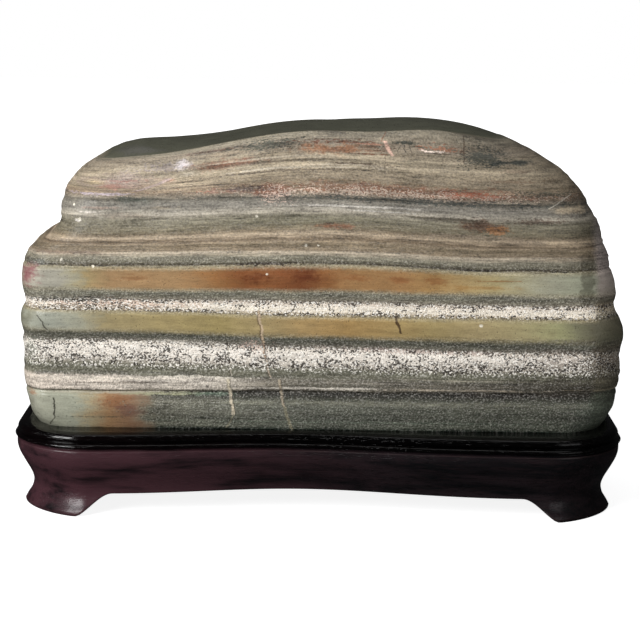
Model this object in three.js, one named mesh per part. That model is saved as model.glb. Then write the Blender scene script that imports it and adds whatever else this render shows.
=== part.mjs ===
// A scholar's stone: one banded, water-worn stone resting in its carved hardwood stand.
//
// Millimetres. +X is the length of the stone, -Y is its polished front, +Z is up.
// The origin is at the middle of the footprint, on the surface that the stand rests on.
import * as THREE from 'three';

// Driving dimensions of the stand
const STAND_LENGTH = 380;      // over the moulding
const STAND_DEPTH = 160;       // over the moulding at the corners
const STAND_CORNER = 47;       // plan radius of the corners
const RIM_HEIGHT = 53.5;       // top of the rim, beside the stone
const APRON_BOTTOM = 13.6;     // lower edge of the apron beside the feet
const APRON_ARCH = 2;          // how much higher that edge is half way along
const UNDERSIDE = 19;          // flat underside, behind the apron
const APRON_THICKNESS = 18;    // wood left behind the apron and in the feet
const FRONT_HOLLOW = 11;       // how far the front draws in at the middle
const BACK_HOLLOW = 5;         // the same, at the back
const HOLLOW_CENTRE = -18;     // it is carved a little left of the middle
const HOLLOW_SPREAD = 78;      // length scale of those curves
const FOOT_ON_FRONT = 151;     // half the distance between the flat soles, along the front
const FOOT_ON_END = 34;        // the same, along the ends
const FOOT_SWEEP = 25;         // run of the curve from the sole up to the apron
const FOOT_EASING = 4;         // how much rounder the corners are at the soles than at the rim

// Driving dimensions of the stone
const SEAT_DEPTH = 4.5;        // how deep the stone stands in the stand
const SEAT_GAP = 0.5;          // clearance round and under the stone

// The stand's outer profile: [distance outside the moulding's widest line, height],
// from the rim down to the top of the apron
const MOULDING = [
  [-6.5, 53.2], [-3.6, 52.4], [-2.0, 50.6], [-1.9, 48.8], [-2.9, 47.6],
  [-1.2, 46.9], [0, 45.6], [-0.6, 44.8], [-2.8, 44.2], [-2.6, 43.2], [-1.2, 42.4],
];
// Below it, the hollow curve of the apron, which turns out again into the feet
const APRON_CURVE = [
  [42.4, -1.2], [38, -1.3], [34, -2.4], [30, -4.3], [26, -6.4], [22, -8.6],
  [18, -10.3], [14, -11.1], [10, -10.3], [6, -8.2], [3, -6.2], [1.2, -5.6], [0, -6.6],
];
const APRON_STEPS = 9;

// The stone's plan at each bed:
// [height, left, right, half depth, left corner length, right corner length, corner depth]
const BEDS = [
  [49.5, 177, 178, 55, 24, 30, 38],
  [53.5, 178.5, 180, 57.6, 24, 30, 40],
  [57, 180, 181.8, 59, 22, 30, 38],
  [62, 180.2, 182.6, 60.5, 20, 29, 34],
  [67, 180.4, 183.3, 61.5, 18, 28, 30],
  [73, 181.5, 184, 62.2, 17, 28, 27],
  [78, 182.3, 184, 62.6, 16, 28, 25],
  [81, 181.7, 185.2, 61.4, 16, 28, 24],
  [84, 181.7, 186.3, 62.6, 16, 28, 24],
  [88, 182.6, 186.2, 62.6, 16, 28, 24],
  [95, 184, 186.4, 63.4, 16, 28, 24],
  [101, 183.3, 185.6, 63.2, 16, 28, 24],
  [106, 182.4, 186.4, 62.9, 16, 28, 24],
  [111, 184, 187, 62.3, 16, 28, 24],
  [115, 184.4, 187, 63.6, 16, 28, 24],
  [122, 184.4, 185.8, 64.6, 16, 28, 24],
  [128, 183.2, 183.3, 63.8, 16, 28, 24],
  [132, 181.8, 181.4, 63, 16, 28, 24],
  [137, 183, 181.2, 61.9, 16, 28, 24],
  [142, 183.3, 180.6, 62.3, 16, 28, 24],
  [149, 183.1, 179.4, 63, 16, 28, 24],
  [155, 182.4, 177.8, 62.4, 16, 28, 24],
  [159, 181.2, 176.8, 60.8, 16, 28, 24],
  [164, 178.9, 175.4, 60.2, 17, 28, 24],
  [169, 174.2, 173, 59.5, 18, 27, 24],
  [173, 169.2, 171.8, 58.8, 19, 26, 24],
  [177, 163.9, 170.8, 58.2, 20, 26, 25],
  [182, 160.3, 169.2, 57.4, 21, 26, 25],
  [189, 159, 165.4, 56.2, 24, 27, 26],
  [197, 157.4, 161.2, 54.8, 28, 30, 28],
  [205, 153.4, 157, 53, 35, 36, 30],
  [212, 146.5, 150.5, 51, 44, 45, 33],
  [217.5, 137, 141, 49, 52, 52, 35],
  [222, 122, 132.5, 47, 56, 56, 35],
  [226, 91, 123.5, 44.5, 58, 58, 34],
  [230, 52, 112.5, 42, 50, 50, 33],
  [234, 26, 98.5, 39, 38, 38, 32],
  [237, 2, 86, 35, 26, 26, 29],
  [239, -14, 72, 29, 20, 20, 25],
];
const STONE_COLOUR = 0x8b8468;
const STAND_COLOUR = 0x2a1518;

const smooth = (low, high, value) => THREE.MathUtils.smoothstep(value, low, high);

// Straight-line look-up in a table of [input, output] rows, sorted either way
function lookUp(rows, value) {
  const rising = rows[0][0] < rows[rows.length - 1][0] ? rows : [...rows].reverse();
  const next = rising.findIndex((row) => row[0] >= value);
  if (next === 0) return rising[0][1];
  if (next < 0) return rising[rising.length - 1][1];
  const [low, high] = [rising[next - 1], rising[next]];
  return THREE.MathUtils.lerp(low[1], high[1], (value - low[0]) / (high[0] - low[0]));
}

// The columns of a rounded rectangle, anticlockwise from the middle of the front.
// Each has a place on the straight sides, from -1 to 1, and a direction round the corner,
// so that a point is side * (half size - radius) + direction * radius.
function roundedColumns(alongFront, roundCorner, alongEnd) {
  const quarter = [];
  alongFront.forEach((s) => quarter.push({ sx: s, sy: -1, cx: 0, cy: -1 }));
  for (let i = 0; i <= roundCorner; i += 1) {
    const turn = (Math.PI / 2) * (i / roundCorner);
    quarter.push({ sx: 1, sy: -1, cx: Math.sin(turn), cy: -Math.cos(turn) });
  }
  alongEnd.forEach((s) => quarter.push({ sx: 1, sy: -s, cx: 1, cy: 0 }));
  const flip = (column, x, y) => ({
    sx: column.sx * x, sy: column.sy * y, cx: column.cx * x, cy: column.cy * y,
  });
  const back = [...quarter].reverse().map((column) => flip(column, 1, -1));
  const half = [...quarter, ...back];
  const other = [...half].reverse().map((column) => flip(column, -1, 1));
  const all = [...half, ...other];
  return all.filter((column, i) => {
    const last = all[(i + all.length - 1) % all.length];
    return Math.abs(column.sx - last.sx) + Math.abs(column.sy - last.sy)
      + Math.abs(column.cx - last.cx) + Math.abs(column.cy - last.cy) > 1e-6;
  });
}

// Rings of equal length, from the first to the last, closed at both ends by a centre point
function closedSurface(rings, firstCentre, lastCentre) {
  const count = rings[0].length;
  const points = [firstCentre, ...rings.flat(), lastCentre];
  const at = (ring, i) => 1 + ring * count + (i % count);
  const faces = [];
  for (let i = 0; i < count; i += 1) {
    faces.push(0, at(0, i + 1), at(0, i));
    for (let ring = 0; ring + 1 < rings.length; ring += 1) {
      faces.push(at(ring, i), at(ring, i + 1), at(ring + 1, i + 1));
      faces.push(at(ring, i), at(ring + 1, i + 1), at(ring + 1, i));
    }
    faces.push(points.length - 1, at(rings.length - 1, i), at(rings.length - 1, i + 1));
  }
  const geometry = new THREE.BufferGeometry();
  const place = new Float32Array(points.flatMap((p) => [p.x, p.y, p.z]));
  geometry.setAttribute('position', new THREE.BufferAttribute(place, 3));
  geometry.setIndex(faces);
  geometry.computeVertexNormals();
  return geometry;
}

// One bed of the stone: a rounded rectangle whose back is a little uneven
function bedRing(columns, bed, grow = 0) {
  const [height, left, right, depth, leftCorner, rightCorner, cornerDepth] = bed;
  return columns.map(({ sx, sy, cx, cy }) => {
    const corner = cx < 0 ? leftCorner : rightCorner;
    const along = THREE.MathUtils.lerp(leftCorner - left, right - rightCorner, (sx + 1) / 2);
    const x = along + (corner + grow) * cx;
    const uneven = cy > 0 ? 1.6 * cy * Math.abs(Math.sin(x / 41 + height / 33)) : 0;
    const y = (depth - cornerDepth) * sy + (cornerDepth + grow) * cy - uneven;
    return new THREE.Vector3(x, y, height);
  });
}

const STONE_COLUMNS = roundedColumns([0, 0.25, 0.5, 0.75], 8, [0.5]);

function makeStone() {
  const seated = BEDS.filter((bed) => bed[0] > RIM_HEIGHT - SEAT_DEPTH + SEAT_GAP / 2);
  const rings = seated.map((bed) => bedRing(STONE_COLUMNS, bed));
  const base = rings[0].map((p) => new THREE.Vector3(p.x, p.y, RIM_HEIGHT - SEAT_DEPTH + SEAT_GAP));
  const top = BEDS[BEDS.length - 1];
  return closedSurface(
    [base, ...rings.slice(1)],
    new THREE.Vector3(0, 0, RIM_HEIGHT - SEAT_DEPTH + SEAT_GAP),
    new THREE.Vector3((top[2] - top[1]) / 2, 0, top[0] + 0.5),
  );
}

// Lower edge of the stand at one column: the sole of a foot, the apron's arched edge,
// or the ogee curve between them
function lowerEdge(column) {
  const { x, y } = standPoint(column, 0, 0);
  const alongFront = Math.abs(column.cy) > Math.abs(column.cx);
  const place = alongFront ? Math.abs(x) : Math.abs(y);
  const sole = alongFront ? FOOT_ON_FRONT : FOOT_ON_END;
  const apronEnd = sole - FOOT_SWEEP;
  const arch = APRON_ARCH * Math.cos((Math.PI / 2) * Math.min(1, place / apronEnd)) ** 2;
  return smooth(0, FOOT_SWEEP, sole - place) * (APRON_BOTTOM + arch);
}

// The plan line of the stand, moved out by a distance, at a height
function standPoint({ sx, sy, cx, cy }, distance, height) {
  const lowness = 1 - height / RIM_HEIGHT;
  const out = distance - FOOT_EASING * lowness * 2 * Math.abs(cx * cy);
  const x = (STAND_LENGTH / 2 - STAND_CORNER) * sx + (STAND_CORNER + out) * cx;
  const deepest = (cy < 0 ? FRONT_HOLLOW : BACK_HOLLOW) * Math.abs(cy);
  const hollow = deepest * Math.exp(-(((x - HOLLOW_CENTRE) / HOLLOW_SPREAD) ** 2));
  const y = (STAND_DEPTH / 2 - STAND_CORNER) * sy + (STAND_CORNER + out) * cy;
  return new THREE.Vector3(x, y - hollow * Math.sign(y), height);
}

function makeStand() {
  const footSteps = [0, 0.17, 0.34, 0.51, 0.68, 0.84, 0.87, 0.9, 0.935, 0.97, 1.0];
  const columns = roundedColumns(footSteps, 8, [1, 0.75, 0.5, 0.25]);
  const seatFloor = RIM_HEIGHT - SEAT_DEPTH;
  const rim = BEDS[1];
  const seat = columns.map((column) => bedRing([column], rim, SEAT_GAP)[0]);
  const level = (ring, height) => ring.map((p) => new THREE.Vector3(p.x, p.y, height));
  const moulding = MOULDING.map(([out, height]) => columns.map((c) => standPoint(c, out, height)));
  const edges = columns.map(lowerEdge);
  const apronTop = APRON_CURVE[0][0];
  const apron = [];
  for (let step = 1; step <= APRON_STEPS; step += 1) {
    apron.push(columns.map((c, i) => {
      const height = THREE.MathUtils.lerp(apronTop, edges[i], step / APRON_STEPS);
      return standPoint(c, lookUp(APRON_CURVE, height), height);
    }));
  }
  const inside = columns.map((c, i) => standPoint(c, -APRON_THICKNESS - 6, edges[i]));
  const ceiling = columns.map((c) => standPoint(c, -APRON_THICKNESS - 8, UNDERSIDE));
  const rings = [level(seat, seatFloor), level(seat, RIM_HEIGHT), ...moulding, ...apron, inside, ceiling];
  return closedSurface(
    rings.reverse(),
    new THREE.Vector3(0, 0, UNDERSIDE),
    new THREE.Vector3(0, 0, seatFloor),
  );
}

function piece(name, geometry, colour, roughness) {
  const material = new THREE.MeshStandardMaterial({ color: colour, roughness, metalness: 0 });
  const mesh = new THREE.Mesh(geometry, material);
  mesh.name = name;
  return mesh;
}

const scholarsStone = new THREE.Group();
scholarsStone.add(piece('stone', makeStone(), STONE_COLOUR, 0.4));
scholarsStone.add(piece('stand', makeStand(), STAND_COLOUR, 0.25));

export default scholarsStone;
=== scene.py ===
import bpy
import numpy as np
from mathutils import Matrix, Vector


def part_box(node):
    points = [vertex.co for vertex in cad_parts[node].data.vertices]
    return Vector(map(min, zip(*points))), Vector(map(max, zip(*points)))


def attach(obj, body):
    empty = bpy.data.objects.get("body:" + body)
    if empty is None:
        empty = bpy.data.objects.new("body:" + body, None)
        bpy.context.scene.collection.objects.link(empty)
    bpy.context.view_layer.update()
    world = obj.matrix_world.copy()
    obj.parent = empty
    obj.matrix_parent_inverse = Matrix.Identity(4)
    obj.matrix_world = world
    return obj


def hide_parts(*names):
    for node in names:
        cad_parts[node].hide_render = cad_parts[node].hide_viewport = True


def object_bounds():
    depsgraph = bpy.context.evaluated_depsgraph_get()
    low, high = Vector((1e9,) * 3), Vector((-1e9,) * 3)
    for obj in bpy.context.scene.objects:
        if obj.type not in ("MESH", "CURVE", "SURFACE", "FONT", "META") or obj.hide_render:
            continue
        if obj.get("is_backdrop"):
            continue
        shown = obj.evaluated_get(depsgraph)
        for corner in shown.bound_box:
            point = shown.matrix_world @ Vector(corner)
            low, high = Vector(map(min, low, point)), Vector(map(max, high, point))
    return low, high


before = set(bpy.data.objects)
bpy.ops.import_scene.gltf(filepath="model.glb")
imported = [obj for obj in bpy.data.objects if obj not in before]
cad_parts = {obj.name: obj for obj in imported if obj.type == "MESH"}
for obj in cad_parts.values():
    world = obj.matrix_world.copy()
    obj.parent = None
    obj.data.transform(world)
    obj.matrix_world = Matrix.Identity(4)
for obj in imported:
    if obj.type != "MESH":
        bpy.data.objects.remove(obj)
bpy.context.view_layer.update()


# ---- The stone ------------------------------------------------------------------------------
# One water-worn block of banded chert, about 370 mm long, standing loose in its stand.
# Hard waxy bands alternate with crumbly white ones, so the wear has cut it back in ribs and
# steps; the front, ends and back are rubbed smooth, and the dark bed on top is polished.

MM = 0.001
stone_low, stone_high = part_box("stone")
SEAT = stone_low.z / MM        # underside of the stone, in its seat
SUMMIT = stone_high.z / MM
CREST = 236                    # bed level of the edge between the face and the polished top
TOP_LEVELS = 14                # bed levels from there to the middle of the top
PLAIN_BELOW = 57               # no relief is cut under this level, so that the stone fits its seat

# height, reach of the left end, reach of the right end from the middle
ENDS = [
    (49.5, 177, 178), (53.5, 178.5, 180), (57, 180, 181.8), (62, 181, 182.6), (67, 181.5, 183.3),
    (73, 182.1, 184), (79, 182.8, 184.9), (84, 183.6, 185.2), (90, 184.2, 186.2), (95, 184.3, 185.8),
    (100, 183.6, 185), (106, 183.8, 186.2), (112, 183.8, 186.8), (118, 183.6, 186.8),
    (124, 182.8, 184.6), (129, 181.3, 182.5), (134.5, 182.4, 182.4), (138, 182.9, 183),
    (142, 183, 182), (148, 183, 180), (153, 182.4, 178), (158, 181, 177.4), (163, 178, 176.6),
    (168, 170.8, 174), (173, 165, 172.2), (177, 161.8, 171.6), (180, 160.8, 170.8),
    (185, 160.9, 168), (191.5, 159.8, 163.9), (197, 157.6, 161.2), (202, 155.2, 158),
    (206, 152.2, 154.6), (211, 145.6, 150.2), (216, 137.2, 142.6), (219.5, 129.6, 137.4),
    (222.5, 119, 132), (226, 90, 124.2), (230, 52, 114), (234, 26, 99.5),
]
# bed level, half depth, length of the left corner, of the right corner, depth of the corners
PLAN = [
    (49.5, 55, 24, 30, 38), (53.5, 57.6, 24, 30, 40), (57, 59, 22, 30, 38), (62, 60.5, 20, 29, 34),
    (67, 61.5, 18, 28, 30), (73, 62, 17, 28, 27), (80, 62.2, 16, 28, 24), (95, 62.8, 16, 28, 24),
    (109, 63, 16, 28, 24), (122, 63.6, 16, 28, 24), (135, 63.2, 16, 28, 24), (148, 62.6, 16, 28, 24),
    (156, 62.2, 16, 28, 24), (160, 60.9, 16, 28, 24), (169, 59.5, 18, 27, 24), (177, 58.3, 20, 26, 25),
    (189, 56.6, 24, 27, 26), (197, 55.4, 28, 30, 28), (205, 54.2, 35, 36, 30), (212, 53, 44, 45, 33),
    (217.5, 51.8, 50, 50, 35), (222, 50.6, 54, 54, 35), (226, 49.2, 56, 56, 34),
    (230, 47.2, 56, 56, 34), (233, 45, 55, 55, 34), (236, 41.5, 54, 54, 34),
]
# bed level, how far the beds drop towards the left shoulder, and towards the right one
FOLD = [
    (49.5, 0, 0), (62, 0, 0), (73, 0.4, 0), (79.4, 1.6, 0), (87.3, -0.8, 1.9), (92.4, -2.4, 1.2),
    (105.3, -3.2, 1.7), (111, -2.4, 1.4), (126, -1.8, 0.7), (134.4, 0, 1.3), (141, 0.6, 1.3),
    (156.5, 2.4, 3), (164, 2.2, 3), (175.5, 5.4, 4.4), (189, 4.3, 4), (201, 3.4, 3.6), (208, 7.5, 4.6),
    (214.5, 11.5, 5), (221.5, 12.3, 4), (229.5, 13.4, 5), (236, 18, 6.5),
]
LEFT_LIMB, RIGHT_LIMB = 130, 110     # where the beds have dropped as far as they go
BUMP_AT, BUMP_SPREAD, BUMP_RISE = 70, 30, 5.5   # the top beds also rise a little here
TIP_DROP, TIP_FROM, TIP_TO = 3.2, 112, 148        # and they droop at the left shoulder
# bed level, how far the wear leaves it proud
RELIEF = [
    (57, 0), (62, 0.2), (68, 0.5), (74, 0.5), (76.9, 0.1), (78.1, -1.1), (78.9, -1.3), (79.8, -0.3),
    (82, 0.5), (85.5, 0.6), (87, 0.2), (88, -0.4), (89.5, -0.1), (91, 0), (92.4, -0.4), (94, -0.2),
    (98, 0), (102, 0.1), (104, -0.2), (105.2, -0.8), (106.6, -0.9), (108.4, -0.4), (111, 0.2),
    (116, 0.7), (120, 0.9), (124, 0.7), (126, 0.1), (127.2, -0.3), (130, -0.4), (132.5, -0.7),
    (134, -1.1), (135.4, -0.8), (138, -0.2), (141, 0.2), (145, 0.5), (149, 0.6), (153, 0.5),
    (155.8, 0.3), (156.6, -0.6), (157.3, -0.7), (158, -0.2), (160.5, 0), (163, 0.1), (164.3, 0.5),
    (165.4, 0), (168, -0.2), (170.5, 0.2), (172.5, -0.2), (173.8, -0.5), (175.5, 0.5), (177, 0),
    (180, 0.2), (183, 0.3), (186.4, -0.2), (188.4, 0.4), (190, -0.1), (193, 0.2), (196.6, -0.5),
    (198.4, 0.1), (201.5, 0.3), (204.5, -0.1), (206.5, 0.2), (209, 0.1), (211, -0.2), (213.5, 0.2),
    (215, -0.2), (217, 0.3), (219.5, -0.2), (221.3, 0.2), (223.5, -0.1), (226, 0.2), (229.2, -0.4),
    (231.2, 0.1), (234, 0.2), (236, 0),
]
# place along the stone, height of its top line
RIDGE = [
    (-144, 214.8), (-137, 218.2), (-127, 222), (-115, 224.6), (-95, 225.8), (-70, 227.8),
    (-40, 231.4), (-13, 235.2), (6, 237.5), (30, 239), (64, 239.4), (76, 238.5), (93, 235.8),
    (107, 232.4), (118, 229.3),
]
RIDGE_BACK = 20                # how far behind the middle that line runs


def curve_through(rows, column, where):
    """Smooth curve through one column of a table: a cubic between neighbouring rows, whose slope
    at each row is that of the parabola through the rows either side."""
    table = np.array(rows, float)
    place, value = table[:, 0], table[:, column]
    slope = np.gradient(value, place)
    i = np.clip(np.searchsorted(place, where) - 1, 0, len(place) - 2)
    step = place[i + 1] - place[i]
    t = np.clip((where - place[i]) / step, 0, 1)
    return ((2 * t**3 - 3 * t**2 + 1) * value[i] + (t**3 - 2 * t**2 + t) * step * slope[i]
            + (3 * t**2 - 2 * t**3) * value[i + 1] + (t**3 - t**2) * step * slope[i + 1])


def ease(low, high, value):
    """0 below low, 1 above high, and the cubic 3t^2 - 2t^3 between."""
    t = np.clip((value - low) / (high - low), 0, 1)
    return t * t * (3 - 2 * t)


def ripple(seed, *coordinates):
    """Natural unevenness from about -1 to 1: the mean of six sine waves, each along its own
    direction through the coordinates (in wavelengths), with its own pace and starting point."""
    chance = np.random.default_rng(seed)
    total = 0
    for pace in (0.6, 0.85, 1.15, 1.6, 2.2, 3.1):
        directions = chance.normal(size=len(coordinates))
        directions /= np.linalg.norm(directions)
        phase = sum(d * c for d, c in zip(directions, coordinates)) * pace
        total = total + np.sin(2 * np.pi * (phase + chance.uniform())) / pace**0.7
    return total / 2.6


def plan_columns(front, end, back, corner):
    """Places round a rounded rectangle, anticlockwise from the left end of its front. Each has a
    spot on the straight sides, from -1 to 1 both ways, and the direction the outline faces."""
    across, deep, facing = [], [], []
    for side, count in enumerate((front, end, back, end)):
        start = (side - 1) * np.pi / 2
        run = np.linspace(-1, 1, count, endpoint=False)
        turn = np.linspace(0, np.pi / 2, corner, endpoint=False)
        c, s = np.cos(start), np.sin(start)
        across += [c - s * run, np.full(corner, c - s)]
        deep += [s + c * run, np.full(corner, s + c)]
        facing += [np.full(count, start), start + turn]
    facing = np.concatenate(facing)
    return np.concatenate(across), np.concatenate(deep), np.cos(facing), np.sin(facing)


def tip_drop(level):
    """The whole drop of the topmost beds at the left shoulder, which eases in with the level."""
    return TIP_DROP * ease(212, 226, level)


def fold(x, level):
    """How far the bed of a level lies above its own middle at x: it eases down to the drop in
    FOLD at each limb; the topmost beds droop more at the left shoulder, and rise by a bell curve
    right of the middle."""
    left = curve_through(FOLD, 1, level) * ease(0, LEFT_LIMB, -x)
    right = curve_through(FOLD, 2, level) * ease(0, RIGHT_LIMB, x)
    tip = tip_drop(level) * ease(TIP_FROM, TIP_TO, -x)
    swell = BUMP_RISE * ease(228, CREST, level) * np.exp(-(((x - BUMP_AT) / BUMP_SPREAD) ** 2))
    return swell - left - right - tip


def closed_surface(name, rings, first, last):
    """A closed mesh from a stack of equal rings, each anticlockwise, the lowest first, with a
    point to close either end. Places are in millimetres and the mesh is in metres."""
    rows, count = rings.shape[:2]
    places = np.concatenate([[first], rings.reshape(-1, 3), [last]]) * MM
    here = np.arange(count)
    after = (here + 1) % count
    row = 1 + count * np.arange(rows)[:, None]
    quads = np.stack([row[:-1] + here, row[:-1] + after, row[1:] + after, row[1:] + here], axis=-1)
    low_fan = np.stack([np.zeros(count, int), row[0] + after, row[0] + here], axis=-1)
    high_fan = np.stack([np.full(count, len(places) - 1), row[-1] + here, row[-1] + after], axis=-1)
    mesh = bpy.data.meshes.new(name)
    mesh.from_pydata(places.tolist(), [], low_fan.tolist() + quads.reshape(-1, 4).tolist()
                     + high_fan.tolist())
    mesh.shade_smooth()
    piece = bpy.data.objects.new(name, mesh)
    bpy.context.scene.collection.objects.link(piece)
    return piece


def stone_sides(columns, levels):
    """The face, ends and back of the stone: at each bed level a rounded rectangle from ENDS and
    PLAN, lying on the folded bed, and moved outward by RELIEF, whose ribs wander a little up and
    down and come and go along the stone, plus broad and fine unevenness."""
    across, deep, out_x, out_y = columns
    level = levels[:, None]
    left = curve_through(ENDS, 1, level - curve_through(FOLD, 1, level) - tip_drop(level))
    right = curve_through(ENDS, 2, level - curve_through(FOLD, 2, level))
    depth, left_corner, right_corner, corner_depth = (
        curve_through(PLAN, column, level) for column in (1, 2, 3, 4))
    corner = np.where(out_x < 0, left_corner, right_corner)
    start, end = left_corner - left, right - right_corner
    x = start + (end - start) * (across + 1) / 2 + corner * out_x
    y = (depth - corner_depth) * deep + corner_depth * out_y
    cut = ease(PLAIN_BELOW, PLAIN_BELOW + 8, level)
    wander = 0.7 * ripple(11, x / 130, y / 130, level / 60) + 0.3 * ripple(12, x / 34, y / 34, level / 9)
    strength = (1 + 0.35 * ripple(13, x / 90, y / 90, level / 12)) * (1 - 0.4 * np.abs(out_x))
    ribs = curve_through(RELIEF, 1, level + cut * wander) * strength
    broad = 0.9 * ripple(14, x / 120, y / 120, level / 45)
    fine = 0.22 * ripple(15, x / 22, y / 22, level / 4.5) * ease(156, 166, level)
    crumbly = 0.16 * ripple(16, x / 5, y / 5, level / 3)
    crumbly = crumbly * (np.exp(-(((level - 101) / 9) ** 2)) + np.exp(-(((level - 133) / 5) ** 2)))
    worn_back = 1.5 * ease(0, 30, y) * np.abs(np.sin(x / 41 + level / 33))
    outward = cut * (ribs + broad + fine + crumbly - worn_back)
    x, y = x + outward * out_x, y + outward * out_y
    z = level + cut * fold(x, level)
    return np.stack([x, y, np.broadcast_to(z, x.shape)], axis=-1)


def stone_top(crest, shares):
    """The polished top: rings shrunk from the crest line to the middle by each share. The height
    is RIDGE along its back half, falling to the crest as the square of the distance across."""
    x0, y0, z0 = crest.T
    front = y0 < 0
    order = np.argsort(x0[front])
    middle = (x0.min() + x0.max()) / 2
    share = np.array(shares)[:, None]
    x = middle + (x0 - middle) * share
    y = y0 * share
    half = np.interp(x, x0[front][order], -y0[front][order])
    edge = np.interp(x, x0[front][order], z0[front][order])
    back = np.minimum(RIDGE_BACK, 0.5 * half)
    away = np.where(y > back, (y - back) / np.maximum(half - back, 1), (back - y) / (half + back + 0.1))
    fall = np.clip(away, 0, 1) ** 2
    ridge = np.maximum(curve_through(RIDGE, 1, x), edge + 0.3)
    uneven = 0.35 * ripple(17, x / 70, y / 50) * (1 - share**4)
    z = np.minimum(ridge + (edge - ridge) * fall + uneven, SUMMIT)
    z = z * (1 - share**40) + z0 * share**40
    return np.stack([x, y, z], axis=-1), middle


columns = plan_columns(front=196, end=16, back=100, corner=13)
# the rows lie closest over the ribs and grainy bands, and by the crest
levels = np.concatenate([
    np.linspace(SEAT, 78, 26, endpoint=False), np.linspace(78, 160, 128, endpoint=False),
    np.linspace(160, CREST - 2, 88, endpoint=False), np.linspace(CREST - 2, CREST, 5),
])
sides = stone_sides(columns, levels)
shares = (0.992, 0.975, 0.95, 0.91, 0.86, 0.79, 0.71, 0.62, 0.52, 0.42, 0.32, 0.22, 0.12)
top, top_middle = stone_top(sides[-1], shares)
rings = np.concatenate([sides, top])
rings[..., 2] = np.minimum(rings[..., 2], SUMMIT)
stone = closed_surface("banded_stone", rings, (0, 0, SEAT),
                       (top_middle, 0, rings[-1, :, 2].mean() + 0.05))

# each point keeps the level of the bed it lies in, so that the colours follow the folded beds
bed = np.concatenate([
    [SEAT], np.repeat(levels, sides.shape[1]),
    np.repeat(CREST + TOP_LEVELS * (1 - np.array(shares)), sides.shape[1]), [CREST + TOP_LEVELS],
])
stone.data.attributes.new("bed", "FLOAT", "POINT").data.foreach_set("value", bed.astype(np.float32))


# The helpers below wire shader nodes; a value may be a number or another node's output.
def feed(tree, socket, value):
    """Give a socket its value."""
    if isinstance(value, bpy.types.NodeSocket):
        tree.links.new(value, socket)
    else:
        socket.default_value = value


def maths(tree, operation, *values, clamp=False):
    """What one operation makes of the values, kept within 0 and 1 if clamp is set."""
    made = tree.nodes.new("ShaderNodeMath")
    made.operation, made.use_clamp = operation, clamp
    for socket, value in zip(made.inputs, values):
        feed(tree, socket, value)
    return made.outputs[0]


def plus(tree, first, *others):
    """The values added up, from the left."""
    for other in others:
        first = maths(tree, "ADD", first, other)
    return first


def minus(tree, a, b):
    """The first value less the second."""
    return maths(tree, "SUBTRACT", a, b)


def times(tree, first, *others):
    """The values multiplied together, from the left."""
    for other in others:
        first = maths(tree, "MULTIPLY", first, other)
    return first


def rising(tree, value, low, high):
    """0 below low, 1 above high and smooth between; with low above high it falls instead."""
    made = tree.nodes.new("ShaderNodeMapRange")
    made.interpolation_type = "SMOOTHSTEP"
    for label, given in (("Value", value), ("From Min", low), ("From Max", high)):
        feed(tree, made.inputs[label], given)
    return made.outputs["Result"]


def near(tree, value, middle, half):
    """1 within half of a middle value, falling softly to 0 just outside."""
    away = maths(tree, "ABSOLUTE", minus(tree, value, middle))
    return rising(tree, away, half * 1.15, half * 0.75)


def layered(tree, amount, under, over):
    """One colour laid over another: none of it at an amount of 0, nothing else at 1."""
    made = tree.nodes.new("ShaderNodeMix")
    made.data_type = "RGBA"
    for place, given in ((0, amount), (6, under), (7, over)):
        feed(tree, made.inputs[place], given)
    return made.outputs[2]


def scaled(tree, vector, x, y, z):
    """A vector with each of its three parts multiplied."""
    made = tree.nodes.new("ShaderNodeVectorMath")
    made.operation = "MULTIPLY"
    feed(tree, made.inputs[0], vector)
    made.inputs[1].default_value = (x, y, z)
    return made.outputs[0]


def noise(tree, vector, lengths, detail, rough=0.5):
    """An uneven field from 0 to 1, whose bumps are about as long each way as the lengths say."""
    made = tree.nodes.new("ShaderNodeTexNoise")
    feed(tree, made.inputs["Vector"], scaled(tree, vector, *(1 / length for length in lengths)))
    for label, given in (("Scale", 1), ("Detail", detail), ("Roughness", rough)):
        made.inputs[label].default_value = given
    return made.outputs["Fac"]


def tint(red, green, blue):
    """A colour given as 0 to 255 on a screen, as the linear values that shaders take."""
    share = np.array([red, green, blue]) / 255
    linear = np.where(share <= 0.04045, share / 12.92, ((share + 0.055) / 1.055) ** 2.4)
    return (*linear.tolist(), 1.0)


def ramp(tree, place, low, high, stops):
    """Colours along a run from low to high; each stop is its place, its colour and, where it has
    one, a share from 0 to 1 that comes out beside the colour."""
    made = tree.nodes.new("ShaderNodeValToRGB")
    strip = made.color_ramp
    while len(strip.elements) < len(stops):
        strip.elements.new(0.5)
    for element, (spot, red, green, blue, *share) in zip(strip.elements, sorted(stops)):
        element.position = (spot - low) / (high - low)
        element.color = (*tint(red, green, blue)[:3], share[0] if share else 1)
    run = maths(tree, "DIVIDE", minus(tree, place, low), high - low, clamp=True)
    tree.links.new(run, made.inputs[0])
    return made.outputs["Color"], made.outputs["Alpha"]


def start_group(name, *labels):
    """A new node group that makes a mask from the numbers named, and its two ends."""
    tree = bpy.data.node_groups.new(name, "ShaderNodeTree")
    for label in labels:
        tree.interface.new_socket(label, in_out="INPUT", socket_type="NodeSocketFloat")
    tree.interface.new_socket("Mask", in_out="OUTPUT", socket_type="NodeSocketFloat")
    given = tree.nodes.new("NodeGroupInput").outputs
    result = tree.nodes.new("NodeGroupOutput").inputs
    return tree, given, result


def placed(tree, group, **values):
    """One use of a group, with its values; underscores in a name stand for spaces."""
    made = tree.nodes.new("ShaderNodeGroup")
    made.node_tree = group
    for label, value in values.items():
        feed(tree, made.inputs[label.replace("_", " ")], value)
    return made.outputs


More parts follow.
